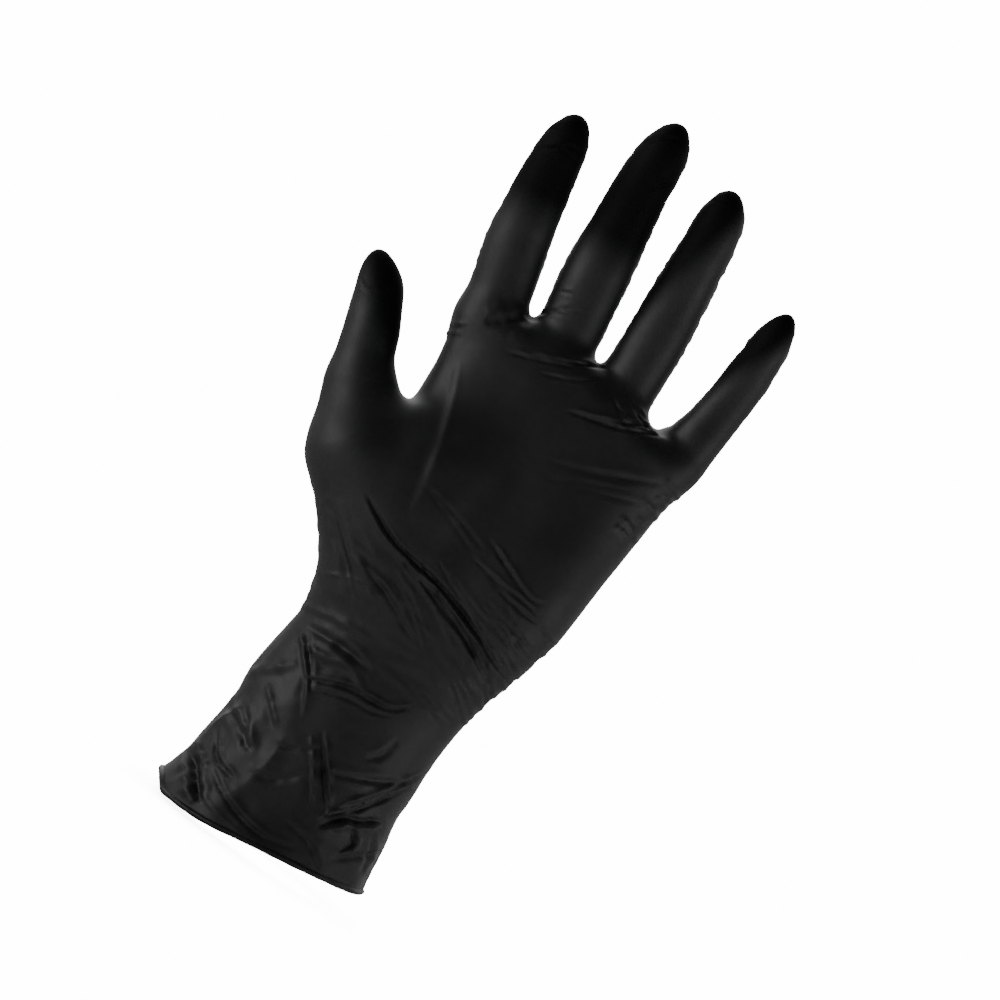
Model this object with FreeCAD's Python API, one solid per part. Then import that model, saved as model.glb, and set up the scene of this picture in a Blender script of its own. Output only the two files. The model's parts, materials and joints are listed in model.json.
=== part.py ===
"""Disposable nitrile glove, in the shape that a worn left hand gives it.

The glove is one dipped film. It is modelled as panels of that film, split where the wearer's
hand bends, so that each panel is rigid and each split is a hinge.

Frame: millimetres, +Z from the cuff towards the fingertips, palm facing -Y, thumb towards -X,
origin at the centre of the cuff opening. A finger's "lean" is its turn from +Z towards the thumb,
and its "run" is the distance from its base plane along the finger.
"""
import FreeCAD, Part

import math
import os

Vector = FreeCAD.Vector

# Film, bead and splits
FILM = 0.12
BEAD_DIAMETER = 1.8
JOINT_GAP = 0.3
HINGE_CLEARANCE = 0.2

# Cuff, from the rim up to the wrist
CUFF_LENGTH = 60.0
RIM_WIDTH = 68.0
RIM_DEPTH = 52.0
RIM_TILT = 7.0
SLEEVE_WIDTH = 60.4
SLEEVE_DEPTH = 46.0

# Wrist panel
WRIST_LENGTH = 16.0
WRIST_WIDTH = 58.4
WRIST_DEPTH = 41.0

# Palm shell, from the heel of the hand up to the webs between the fingers
PALM_LENGTH = 90.0
HEEL_WIDTH = 66.0
HEEL_DEPTH = 40.0
PALM_WIDTH = 79.0
PALM_DEPTH = 31.0
KNUCKLE_DEPTH = 23.5
KNUCKLE_MARGIN = 1.1
WEB_GAPS = (4.6, 4.0, 9.0)
COLLAR_LENGTH = 3.0
WEB_BAND = 12.0

# Thumb: its root is a slanted plane from the edge of the hand to the thumb's web
THUMB_RISE = 43.4
THUMB_REACH = 10.6
THUMB_FORWARD = 5.0
THUMB_ROOT_LEAN = 40.0
THUMB_ROOT_WIDTH = 24.0
THUMB_ROOT_DEPTH = 22.0
THUMB_LEAN = 24.8
THUMB_BASE_LENGTH = 17.8
THUMB_TIP_LENGTH = 27.6
THUMB_KNUCKLE_WIDTH = 17.6
THUMB_TIP_WIDTH = 16.0

# Fingers: lean and curl in degrees, the rest in millimetres
FINGER_DEPTH_RATIO = 0.9
TIP_DOME_RATIO = 1.2
FINGERS = {
    "index_finger": dict(
        lean=11.5, curl=16.0, widths=(18.6, 18.6, 17.0, 15.4), joints=(19.5, 37.5), length=56.6
    ),
    "middle_finger": dict(
        lean=7.3, curl=16.0, widths=(19.3, 19.2, 17.6, 15.8), joints=(24.0, 46.0), length=71.0
    ),
    "ring_finger": dict(
        lean=6.0, curl=16.0, widths=(18.0, 18.0, 16.2, 14.6), joints=(22.0, 42.0), length=64.0
    ),
    "little_finger": dict(
        lean=-2.9, curl=16.0, widths=(15.2, 14.4, 13.2, 12.0), joints=(14.0, 28.0), length=43.8
    ),
}

# Squareness of the sections: 2 is an ellipse, more is squarer
ROUND = 2.0
HAND_SQUARENESS = 2.5
KNUCKLE_SQUARENESS = 4.0
SECTION_POINTS = 24

# Places along the hand
WRIST_Z = CUFF_LENGTH
HEEL_Z = WRIST_Z + WRIST_LENGTH
PALM_TOP_Z = HEEL_Z + PALM_LENGTH
FINGER_BASE_Z = PALM_TOP_Z + COLLAR_LENGTH
FINGERS_WIDTH = sum(finger["widths"][0] for finger in FINGERS.values()) + sum(WEB_GAPS)
KNUCKLE_WIDTH = FINGERS_WIDTH + 2 * KNUCKLE_MARGIN

BACKWARD = Vector(0, 1, 0)


def station(centre, lean, width, depth, power=ROUND, tilt=0.0):
    """One cross-section: where it is, how it is turned and how big it is."""
    turn = FreeCAD.Rotation(Vector(0, 1, 0), -lean).multiply(FreeCAD.Rotation(Vector(1, 0, 0), tilt))
    return dict(centre=centre, turn=turn, half_width=width / 2, half_depth=depth / 2, power=power)


def section_wire(place, inset=0.0):
    """Closed smooth outline of a station, made smaller all round by the inset."""
    across = place["turn"].multVec(Vector(1, 0, 0))
    deep = place["turn"].multVec(BACKWARD)
    exponent = 2.0 / place["power"]
    points = []
    for index in range(SECTION_POINTS):
        angle = 2 * math.pi * index / SECTION_POINTS
        share_across = math.copysign(abs(math.cos(angle)) ** exponent, math.cos(angle))
        share_deep = math.copysign(abs(math.sin(angle)) ** exponent, math.sin(angle))
        step = across * (share_across * (place["half_width"] - inset))
        points.append(place["centre"] + step + deep * (share_deep * (place["half_depth"] - inset)))
    outline = Part.BSplineCurve()
    outline.interpolate(points, PeriodicFlag=True)
    return Part.Wire(outline.toShape())


def shifted(place, distance):
    """The same station, moved along its own normal."""
    moved = dict(place)
    moved["centre"] = place["centre"] + place["turn"].multVec(Vector(0, 0, distance))
    return moved


def split_ends(places):
    """Pull the first and last station in by half the gap that a hinge leaves."""
    return [shifted(places[0], JOINT_GAP / 2)] + places[1:-1] + [shifted(places[-1], -JOINT_GAP / 2)]


def film_tube(places):
    """Open tube of film through the stations."""
    return lofted(places, 0.0).cut(lofted(places, FILM))


def lofted(places, inset):
    """Solid through the stations, made smaller all round by the inset."""
    return Part.makeLoft([section_wire(place, inset) for place in places], True)


def film_tip(place, tip_width, length, depth_ratio):
    """Closed end of a finger: a tapered tube with a dome, turned about its own axis."""
    outer_edges = tip_profile(place["half_width"], tip_width / 2, length, 0.0)
    inner_edges = tip_profile(place["half_width"], tip_width / 2, length, FILM)
    mouth = Part.makeLine(outer_edges[0].Vertexes[0].Point, inner_edges[0].Vertexes[0].Point)
    crown = Part.makeLine(Vector(0, 0, length), Vector(0, 0, length - FILM))
    profile = Part.Wire(Part.__sortEdges__([mouth, crown] + outer_edges + inner_edges))
    tip = Part.Face(profile).revolve(Vector(0, 0, 0), Vector(0, 0, 1), 360)
    flatten = FreeCAD.Matrix()
    flatten.scale(Vector(1, depth_ratio, 1))
    tip = tip.transformGeometry(flatten)
    tip.Placement = FreeCAD.Placement(place["centre"], place["turn"])
    return tip


def tip_profile(base_radius, tip_radius, length, inset):
    """Side line and dome of a fingertip's skin, in the XZ plane."""
    dome_z = length - tip_radius * TIP_DOME_RATIO
    foot = Vector(base_radius - inset, 0, JOINT_GAP / 2)
    shoulder = Vector(tip_radius - inset, 0, dome_z)
    dome = Part.Ellipse(Vector(0, 0, length - inset), shoulder, Vector(0, 0, dome_z))
    return [Part.makeLine(foot, shoulder), Part.ArcOfEllipse(dome, 0, math.pi / 2).toShape()]


def rim_station():
    return station(Vector(0, 0, 0), RIM_TILT, RIM_WIDTH, RIM_DEPTH)


def sleeve_station():
    return station(Vector(0, 0, CUFF_LENGTH * 0.55), 0, SLEEVE_WIDTH, SLEEVE_DEPTH)


def wrist_station():
    return station(Vector(0, 0, WRIST_Z), 0, WRIST_WIDTH, WRIST_DEPTH)


def heel_station():
    return station(Vector(0, 0, HEEL_Z), 0, HEEL_WIDTH, HEEL_DEPTH)


def cuff_bead():
    """Rolled bead round the rim: a round bar that follows the rim's outline."""
    path = section_wire(rim_station(), FILM / 2)
    start = path.Edges[0]
    heading = start.tangentAt(start.FirstParameter)
    circle = Part.Circle(start.valueAt(start.FirstParameter), heading, BEAD_DIAMETER / 2)
    return path.makePipeShell([Part.Wire(circle.toShape())], True, True)


def cuff():
    """Sleeve that stands on the bead and runs up to the wrist."""
    foot = shifted(rim_station(), BEAD_DIAMETER / 2)
    flare = between(rim_station(), sleeve_station(), 0.4)
    return film_tube([foot, flare, sleeve_station(), shifted(wrist_station(), -JOINT_GAP / 2)])


def wrist():
    return film_tube(split_ends([wrist_station(), heel_station()]))


def finger_base(name):
    """Centre of a finger's base plane. The fingers stand side by side across the knuckles."""
    x = -KNUCKLE_WIDTH / 2 + KNUCKLE_MARGIN
    for index, other in enumerate(FINGERS):
        width = FINGERS[other]["widths"][0]
        if other == name:
            break
        x += width + WEB_GAPS[index]
    return Vector(x + width / 2, 0, FINGER_BASE_Z)


def finger_station(name, run, width):
    """Station on a finger. The finger curls evenly towards the palm up to its last joint."""
    finger = FINGERS[name]
    last_joint = finger["joints"][1]
    curl = math.radians(finger["curl"]) * min(max(run, 0.0), last_joint) / last_joint
    radius = last_joint / math.radians(finger["curl"])
    ahead = radius * math.sin(curl) + min(run, 0.0)
    forward = radius * (1 - math.cos(curl))
    lean = FreeCAD.Rotation(Vector(0, 1, 0), -finger["lean"])
    centre = finger_base(name) + lean.multVec(Vector(0, -forward, ahead))
    return station(centre, finger["lean"], width, width * FINGER_DEPTH_RATIO, ROUND, math.degrees(curl))


def finger_panel(name, first, last, first_width, last_width):
    middle = finger_station(name, (first + last) / 2, (first_width + last_width) / 2)
    ends = [finger_station(name, first, first_width), finger_station(name, last, last_width)]
    return film_tube(split_ends([ends[0], middle, ends[1]]))


def finger_panels(name):
    """The three panels of one finger, from the palm outwards."""
    finger = FINGERS[name]
    near, far = finger["joints"]
    widths = finger["widths"]
    end = finger_station(name, far, widths[2])
    return {
        name + "_base": finger_panel(name, 0.0, near, widths[0], widths[1]),
        name + "_mid": finger_panel(name, near, far, widths[1], widths[2]),
        name + "_tip": film_tip(end, widths[3], finger["length"] - far, FINGER_DEPTH_RATIO),
    }


def collar(name, inset):
    """Short stub that carries a finger's film from inside the palm shell up to its base plane."""
    width = FINGERS[name]["widths"][0]
    low = finger_station(name, -3 * COLLAR_LENGTH, width)
    high = shifted(finger_station(name, 0.0, width), -JOINT_GAP / 2)
    return lofted([low, high], inset)


def thumb_root():
    """Slanted plane where the thumb leaves the hand."""
    x = -PALM_WIDTH / 2 - THUMB_REACH
    centre = Vector(x, -THUMB_FORWARD, HEEL_Z + THUMB_RISE)
    return station(centre, THUMB_ROOT_LEAN, THUMB_ROOT_WIDTH, THUMB_ROOT_DEPTH)


def thumb_knuckle():
    """The thumb's own joint, up the thumb from its root."""
    lean = FreeCAD.Rotation(Vector(0, 1, 0), -THUMB_LEAN)
    centre = thumb_root()["centre"] + lean.multVec(Vector(0, 0, THUMB_BASE_LENGTH))
    return station(centre, THUMB_LEAN, THUMB_KNUCKLE_WIDTH, THUMB_KNUCKLE_WIDTH)


def between(first, last, share, forward=0.0):
    """Station part of the way between two others, moved towards the palm side."""
    def mix(key):
        return first[key] + (last[key] - first[key]) * share
    middle = dict(last)
    middle["centre"] = mix("centre") - BACKWARD * forward
    middle["turn"] = first["turn"].slerp(last["turn"], share)
    middle["half_width"] = mix("half_width")
    middle["half_depth"] = mix("half_depth")
    middle["power"] = mix("power")
    return middle


def thenar(inset):
    """Ball of the thumb: from inside the heel of the hand out to the thumb's root."""
    low = Vector(-HEEL_WIDTH * 0.2, 0, HEEL_Z + JOINT_GAP * 20)
    foot = station(low, 0, HEEL_WIDTH * 0.4, HEEL_DEPTH * 0.6)
    root = shifted(thumb_root(), -JOINT_GAP / 2)
    swell = [between(foot, root, share, bulge) for share, bulge in ((0.4, 4.0), (0.72, 2.5))]
    return lofted([foot] + swell + [root], inset)


def palm_volume(inset):
    """Outside of the palm shell, or with an inset its inside, with its finger and thumb stubs."""
    heel = shifted(heel_station(), JOINT_GAP / 2)
    waist = Vector(0, 0, HEEL_Z + PALM_LENGTH * 0.6)
    middle = station(waist, 0, PALM_WIDTH, PALM_DEPTH, HAND_SQUARENESS)
    crest = Vector(0, 0, PALM_TOP_Z - inset)
    top = station(crest, 0, KNUCKLE_WIDTH, KNUCKLE_DEPTH, KNUCKLE_SQUARENESS)
    hand = lofted([heel, middle, between(middle, top, 0.75), top], inset)
    stubs = [collar(name, inset) for name in FINGERS]
    return hand.fuse([thenar(inset)] + stubs)


def hand_panels():
    """The film of the hand, as the palm shell and the band of webs that the fingers stand on."""
    film = palm_volume(0.0).cut(palm_volume(FILM))
    band = Part.makeBox(2 * KNUCKLE_WIDTH, 2 * KNUCKLE_WIDTH, 2 * WEB_BAND)
    band.translate(Vector(-KNUCKLE_WIDTH, -KNUCKLE_WIDTH, PALM_TOP_Z - WEB_BAND))
    return {"palm": film.cut(band), "finger_webs": film.common(band)}


def thumb_panels():
    root = thumb_root()
    knuckle = thumb_knuckle()
    waist = between(root, knuckle, 0.5)
    return {
        "thumb_base": film_tube(split_ends([root, waist, knuckle])),
        "thumb_tip": film_tip(knuckle, THUMB_TIP_WIDTH, THUMB_TIP_LENGTH, 1.0),
    }


def all_parts():
    parts = {"cuff_bead": cuff_bead(), "cuff": cuff(), "wrist": wrist()}
    parts.update(hand_panels())
    parts.update(thumb_panels())
    for name in FINGERS:
        parts.update(finger_panels(name))
    return parts


def main():
    os.makedirs("parts", exist_ok=True)
    for name, shape in all_parts().items():
        if not shape.isValid() or not shape.Solids:
            raise ValueError(name + " is not a valid solid")
        shape.exportStep(os.path.join("parts", name + ".step"))
        print(name, len(shape.Solids), round(shape.Volume, 1), shape.BoundBox)


main()
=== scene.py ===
"""Disposable nitrile glove in worn shape: film, rolled bead, finishes, lights and camera.

Laid out as a Blender add-on, and run as a script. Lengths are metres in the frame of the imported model:
+Z from the cuff to the fingertips, palm facing -Y, thumb towards -X, origin at the centre of the cuff opening.
Sizes in the settings are millimetres where their name ends in _mm.
"""
import json
import math

import bpy
import numpy as np
from mathutils import Matrix, Vector


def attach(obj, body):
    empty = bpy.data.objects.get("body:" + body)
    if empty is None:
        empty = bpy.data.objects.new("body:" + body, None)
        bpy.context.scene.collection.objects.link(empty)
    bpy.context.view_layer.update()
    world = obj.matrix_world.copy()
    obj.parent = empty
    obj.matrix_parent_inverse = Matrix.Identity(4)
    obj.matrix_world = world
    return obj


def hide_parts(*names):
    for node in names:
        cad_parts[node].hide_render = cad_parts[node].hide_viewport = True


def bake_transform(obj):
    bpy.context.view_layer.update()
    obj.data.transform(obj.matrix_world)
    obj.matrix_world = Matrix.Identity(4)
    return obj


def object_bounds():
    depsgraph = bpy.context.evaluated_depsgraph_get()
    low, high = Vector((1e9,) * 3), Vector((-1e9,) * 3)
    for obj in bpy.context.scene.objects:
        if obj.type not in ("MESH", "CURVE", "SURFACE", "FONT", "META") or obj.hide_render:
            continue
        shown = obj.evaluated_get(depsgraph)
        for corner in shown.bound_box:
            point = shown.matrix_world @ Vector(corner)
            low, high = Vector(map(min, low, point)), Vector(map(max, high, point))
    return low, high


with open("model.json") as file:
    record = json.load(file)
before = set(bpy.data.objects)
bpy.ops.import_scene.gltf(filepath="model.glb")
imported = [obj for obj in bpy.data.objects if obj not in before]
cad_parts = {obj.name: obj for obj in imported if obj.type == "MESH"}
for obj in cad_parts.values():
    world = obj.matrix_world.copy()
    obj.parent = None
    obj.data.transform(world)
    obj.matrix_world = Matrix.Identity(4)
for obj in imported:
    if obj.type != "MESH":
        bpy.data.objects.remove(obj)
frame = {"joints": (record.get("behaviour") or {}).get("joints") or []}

bl_info = {
    "name": "Nitrile Glove",
    "version": (1, 0, 0),
    "blender": (4, 5, 0),
    "location": "3D View > Sidebar > Nitrile Glove",
    "description": "Builds a disposable nitrile glove in the shape that a worn hand gives it",
    "category": "Object",
}

MM = 0.001
FINGERS = ("index_finger", "middle_finger", "ring_finger", "little_finger")
CAD_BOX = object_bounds()

# Each digit's lean in degrees, its joints' runs and its length in mm. Its widths and its sideways shifts are in mm at
# the base and at each quarter of its length, the last shift at the tip. A point below 2 makes the tip slimmer. Grip is
# where the rougher fingertip film starts and is full, as shares of the length; the film there is also painted darker,
# as painted shade. Slant is how far that edge moves along the digit for each mm across it, so that the painted shade
# starts further down one side of the digit than the other.
DIGITS = {
    "index_finger": dict(
        lean=11.5, joints=(19.5, 37.5), length=56.6, grip=(0.33, 0.6), grip_and_shade_slant=0.0, point=1.9,
        widths=(19.2, 19.5, 17.9, 15.4), shifts=(0.1, -1.1, -1.05, -0.55, 0.8),
    ),
    "middle_finger": dict(
        lean=7.3, joints=(24.0, 46.0), length=71.0, grip=(0.3, 0.5), grip_and_shade_slant=0.0, point=2.0,
        widths=(19.2, 20.4, 18.5, 16.6), shifts=(-0.1, -0.9, -1.3, -0.95, 0.3),
    ),
    "ring_finger": dict(
        lean=6.0, joints=(22.0, 42.0), length=64.0, grip=(0.48, 0.86), grip_and_shade_slant=-3.4, point=2.1,
        widths=(17.9, 18.8, 17.3, 15.5), shifts=(-0.2, 0.2, 0.1, 0.0, -0.9),
    ),
    "little_finger": dict(
        lean=-2.9, joints=(14.0, 28.0), length=43.8, grip=(0.46, 0.88), grip_and_shade_slant=-2.8, point=1.35,
        widths=(15.6, 14.6, 14.0, 12.3), shifts=(-0.2, 0.1, 0.0, -0.75, -1.4),
    ),
}
THUMB = dict(
    lean=24.8, length=44.2, grip=(0.317, 0.814), grip_and_shade_slant=2.2, point=1.5,
    widths=(20.4, 18.0, 16.6, 14.4), shifts=(-0.4, -0.7, 0.0, 0.1, -1.6),
)
FINGER_CURL = 16.0  # degrees, from the base to the last joint
DIGIT_DEPTHS = (0.94, 0.86)  # a digit's depth on the palm side and at the back, as shares of its width
DIGIT_REACH = 3.0  # film within this many mm of a digit belongs to it
ROUGH_AND_SHADE_FADE = (3.0, 16.0)  # runs in mm that the rougher film and its painted shade fade in between, however far its edge slants

# Sections of the sleeve and hand: height, thumb-side edge, little-finger-side edge, palm-side depth, back depth,
# and squareness, in mm. A squareness of 2 is an oval.
HAND_SECTIONS = (
    (-14, -37.0, 36.5, 26.0, 26.0, 2.0),
    (0, -35.0, 34.4, 26.0, 26.0, 2.0),
    (9, -32.4, 32.8, 24.6, 24.8, 2.0),
    (22, -31.2, 31.0, 23.2, 23.4, 2.0),
    (42, -30.8, 29.2, 21.4, 21.6, 2.1),
    (62, -29.0, 29.6, 20.4, 20.2, 2.2),
    (78, -30.4, 31.8, 20.0, 19.2, 2.2),
    (96, -33.0, 36.4, 18.0, 17.0, 2.3),
    (120, -37.0, 38.8, 15.4, 15.6, 2.5),
    (142, -38.6, 40.4, 14.2, 14.4, 2.7),
    (158, -41.8, 41.9, 12.8, 13.0, 2.8),
    (172, -44.8, 43.4, 10.2, 10.6, 3.0),
)
# Height of the hand's top edge, without its fingers, at places across it. At the back it slopes down.
HAND_TOP = ((-40, -22, 0, 25, 42), (163.0, 166.8, 167.2, 162.2, 159.0))
BACK_SLOPE = 0.3

# The ball of the thumb is a tapered rod from the wrist to the thumb's root, and the root is a second one from there.
THUMB_BALL = ((-16, -6, 84), (-42, -8, 107))
THUMB_BALL_RADII = (15.0, 13.4)
THUMB_ROOT_RADII = (13.0, 9.8)

# Swells of the palm: centre, radius, stretch and how softly each one joins, in mm.
PALM_SWELLS = (
    ((-20, -12, 106), 13.0, (1.3, 0.75, 1.9), 8.0),  # highest line of the palm, down from the web of the thumb
    ((-33, -11, 106), 9.0, (1.1, 0.75, 1.5), 8.0),  # slope from that line to the thumb
    ((19.5, -9, 98), 12.0, (1.1, 0.72, 2.0), 12.0),  # heel of the hand under the little finger
)
KNUCKLE_RADIUS = 7.6

# Where the film is cut into pieces: heights on the sleeve and wrist, and runs along the digits, in mm. The start and
# end given to a piece lie a margin away from its cuts.
SLEEVE_TOP = 30.0
WRIST_MIDDLE = 68.0
HEEL_TOP = 98.0
ROOT_RISE = 2.2
THUMB_ROOT_LEAN = 40.0  # degrees, of the plane that cuts the thumb off the palm
THUMB_ROOT_END = 9.0
THUMB_SEAM = 12.0
THUMB_SIDE = -38.0  # the thumb's pieces stay on this side of it, off the palm
BASE_SHARE = 0.6  # of the run to the middle joint
SEAM_MARGIN = 0.8

RIM_TILT = 7.0  # degrees, up towards the little finger's side
BEAD_ROWS = 420
BEAD_SIDES = 20


def place_mm(name):
    """Where a joint's axis passes, in mm."""
    return np.array(next(j for j in frame["joints"] if j["name"] == name)["pos_m"]) / MM


# ---------------------------------------------------------------- shape of the hand inside the film

def smooth_steps(x, xs, ys):
    """Smooth curve through the points (xs, ys), flat beyond them."""
    xs = np.asarray(xs, float)
    ys = np.asarray(ys, float)
    slopes = np.gradient(ys, xs)
    index = np.clip(np.searchsorted(xs, x) - 1, 0, len(xs) - 2)
    span = xs[index + 1] - xs[index]
    t = np.clip((x - xs[index]) / span, 0, 1)
    a, b = ys[index], ys[index + 1]
    ma, mb = slopes[index] * span, slopes[index + 1] * span
    return a + t * (ma + t * (3 * (b - a) - 2 * ma - mb + t * (2 * (a - b) + ma + mb)))


def fade_in(x, start, end):
    """0 before start, 1 after end, smooth between."""
    t = np.clip((x - start) / (end - start), 0, 1)
    return t * t * (3 - 2 * t)


def blend_in(a, b, reach):
    """Union of two distance fields, rounded where they meet."""
    near = np.clip(1 - np.abs(a - b) / reach, 0, 1)
    return np.minimum(a, b) - near * near * reach / 4


def ball(p, centre, radius, stretch):
    """Distance to an ellipsoid, near enough."""
    q = (p - np.array(centre)) / np.array(stretch)
    return (np.sqrt((q * q).sum(-1)) - radius) * min(stretch)


def limb(p, ends, radii):
    """Distance to a tapered rod with round ends."""
    a, b = np.array(ends[0], float), np.array(ends[1], float)
    t = np.clip(((p - a) @ (b - a)) / ((b - a) @ (b - a)), 0, 1)
    gap = p - a - t[..., None] * (b - a)
    return np.sqrt((gap * gap).sum(-1)) - (radii[0] + (radii[1] - radii[0]) * t)


def hand_column(p):
    """Distance to the sleeve, wrist and hand without its thumb and fingers."""
    columns = list(zip(*HAND_SECTIONS))
    z = p[..., 2]
    left, right, front, back, power = (smooth_steps(z, columns[0], values) for values in columns[1:])
    u = (p[..., 0] - (left + right) / 2) / ((right - left) / 2)
    v = np.where(p[..., 1] < 0, -p[..., 1] / front, p[..., 1] / back)
    size = np.maximum((np.abs(u) ** power + np.abs(v) ** power) ** (1 / power), 1e-6)
    # The field is worth about a millimetre a millimetre on both the narrow and the broad faces.
    share_u = np.abs(u) ** (2 * power) / np.maximum(size, 1e-6) ** (2 * power)
    scale = ((right - left) / 2) * share_u + np.minimum(front, back) * (1 - share_u)
    return (size - 1) * scale


def leaned(p, foot, lean):
    """Across, forward and ahead of points from a digit's foot that leans by an angle in degrees."""
    q = p - foot
    sine, cosine = math.sin(math.radians(lean)), math.cos(math.radians(lean))
    return q[..., 0] * cosine + q[..., 2] * sine, q[..., 1], -q[..., 0] * sine + q[..., 2] * cosine


def curl_of(name):
    """Run to a finger's last joint, and the radius that it curls at up to there, in mm."""
    last = DIGITS[name]["joints"][1]
    return last, last / math.radians(FINGER_CURL)


def finger_run(p, name):
    """Across, depth and run of points on a finger that curls evenly up to its last joint."""
    last, radius = curl_of(name)
    across, deep, ahead = leaned(p, base_centre(name), DIGITS[name]["lean"])
    deep = deep + radius
    turn = np.clip(np.arctan2(ahead, deep), 0, last / radius)
    # On the arc the turn gives the run. Before it and after it the finger is straight.
    run = turn * radius + (-deep * np.sin(turn) + ahead * np.cos(turn)) * ((turn <= 0) | (turn >= last / radius))
    depth = deep * np.cos(turn) + ahead * np.sin(turn) - radius
    return across, depth, run


def base_centre(name):
    """Centre of a finger's base plane, from its hinge at the palm-side crease."""
    hinge = place_mm(name + "_base_flexion")
    return np.array([hinge[0], 0.0, hinge[2]])


def digit_distance(across, depth, run, shape):
    """Distance to a digit with its dome, in its own axes. It ends softly inside the hand."""
    length = shape["length"]
    quarters = np.arange(5) * length / 4
    across = across - smooth_steps(run, quarters, shape["shifts"])
    half = smooth_steps(run, quarters[:4], np.array(shape["widths"]) / 2)
    thick = half * np.where(depth < 0, *DIGIT_DEPTHS)
    beyond = np.maximum(run - quarters[3], 0) / (length / 4)
    before = np.maximum(-8.0 - run, 0) / 10.0
    past = beyond ** shape["point"] + before ** 2
    return (np.sqrt((across / half) ** 2 + (depth / thick) ** 2 + past) - 1) * half * 0.92


def finger_field(p, name):
    """Distance to one finger."""
    return digit_distance(*finger_run(p, name), DIGITS[name])


def thumb_axes(p):
    """Across, depth and run of points on the thumb, which is straight."""
    return leaned(p, thumb_foot(), THUMB["lean"])


def thumb_foot():
    """Centre of the thumb's base plane."""
    return place_mm("thumb_base_flexion") + (0, 11.2, 0)


def thumb_fields(p):
    """Distances to the ball of the thumb, its root and the thumb."""
    ball_of_thumb = limb(p, THUMB_BALL, THUMB_BALL_RADII)
    root = limb(p, (THUMB_BALL[1], thumb_foot() + (-1.5, 0, 3)), THUMB_ROOT_RADII)
    return ball_of_thumb, root, digit_distance(*thumb_axes(p), THUMB)


def glove_field(p):
    """Distance in mm to the outside of the film."""
    field = hand_column(p)
    top = p[..., 2] - smooth_steps(p[..., 0], *HAND_TOP) + BACK_SLOPE * np.maximum(p[..., 1], 0)
    # Joining the two outsides cuts the hand off at its top edge, and rounds the edge.
    field = -blend_in(-field, -top, 8.0)
    ball_of_thumb, root, thumb = thumb_fields(p)
    field = blend_in(field, ball_of_thumb, 14.0)
    for centre, radius, stretch, reach in PALM_SWELLS:
        field = blend_in(field, ball(p, centre, radius, stretch), reach)
    field = blend_in(field, blend_in(root, thumb, 5.0), 6.0)
    for name in FINGERS:
        field = blend_in(field, finger_field(p, name), 4.5)
        knuckle = base_centre(name) * (0.91, 1, 1) + (0, 6.4, -10.5)
        field = blend_in(field, ball(p, knuckle, KNUCKLE_RADIUS, (1, 1, 1.3)), 7.0)
    return field


# ---------------------------------------------------------------- mesh of the film

def skin_of(field, low, high, step):
    """Quads on the zero surface of a field, one vertex in each grid cell that the surface crosses."""
    axes = [np.arange(a, b, step) for a, b in zip(low, high)]
    shape = [len(a) for a in axes]
    values = np.empty(shape, np.float32)
    for i, x in enumerate(axes[0]):
        y, z = np.meshgrid(axes[1], axes[2], indexing="ij")
        values[i] = field(np.stack([np.full_like(y, x), y, z], -1))
    inside = values < 0
    sums = np.zeros([n - 1 for n in shape] + [3], np.float32)
    counts = np.zeros([n - 1 for n in shape], np.int32)
    crossings = []
    for axis in range(3):
        first = [slice(None)] * 3
        second = [slice(None)] * 3
        first[axis], second[axis] = slice(0, -1), slice(1, None)
        a, b = values[tuple(first)], values[tuple(second)]
        hit = np.argwhere((a < 0) != (b < 0))
        fa, fb = a[tuple(hit.T)], b[tuple(hit.T)]
        point = hit.astype(np.float32)
        point[:, axis] += fa / (fa - fb)
        others = [k for k in range(3) if k != axis]
        inner = np.ones(len(hit), bool)
        for k in others:
            inner &= (hit[:, k] > 0) & (hit[:, k] < shape[k] - 1)
        hit, point, start_inside = hit[inner], point[inner], (fa < 0)[inner]
        corners = []
        for du, dv in ((-1, -1), (0, -1), (0, 0), (-1, 0)):
            cell = hit.copy()
            cell[:, others[0]] += du
            cell[:, others[1]] += dv
            np.add.at(sums, tuple(cell.T), point)
            np.add.at(counts, tuple(cell.T), 1)
            corners.append(cell)
        crossings.append((axis, corners, start_inside))
    used = np.argwhere(counts > 0)
    number = np.full(counts.shape, -1, np.int64)
    number[tuple(used.T)] = np.arange(len(used))
    vertices = sums[tuple(used.T)] / counts[tuple(used.T)][:, None] * step + np.array(low)
    faces = []
    for axis, corners, start_inside in crossings:
        quad = np.stack([number[tuple(c.T)] for c in corners], 1)
        flip = start_inside if axis != 1 else ~start_inside
        quad[~flip] = quad[~flip][:, ::-1]
        faces.append(quad)
    return vertices, np.concatenate(faces)


def slope_of(field, p, step=0.05):
    """Gradient of a field at points."""
    gradient = np.empty_like(p)
    for axis in range(3):
        shift = np.zeros(3)
        shift[axis] = step
        gradient[:, axis] = (field(p + shift) - field(p - shift)) / (2 * step)
    return gradient


def settle(field, p, rounds):
    """Points moved along the gradient onto the zero surface."""
    for _ in range(rounds):
        gradient = slope_of(field, p)
        p = p - gradient * (field(p) / np.maximum((gradient ** 2).sum(1), 1e-9))[:, None]
    return p


def sides_of(faces):
    """Every side of every quad, as a pair of vertices in the quad's own direction."""
    return np.concatenate([faces[:, (k, (k + 1) % 4)] for k in range(4)])


def edges_of(faces):
    """Each edge of the quads once."""
    return np.unique(np.sort(sides_of(faces), 1), axis=0)


def border_of(faces):
    """Edges that belong to one quad only, each as a pair in the quad's own direction."""
    pairs = sides_of(faces)
    key = np.sort(pairs, 1)
    _, index, count = np.unique(key, axis=0, return_index=True, return_counts=True)
    return pairs[index[count == 1]]


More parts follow.
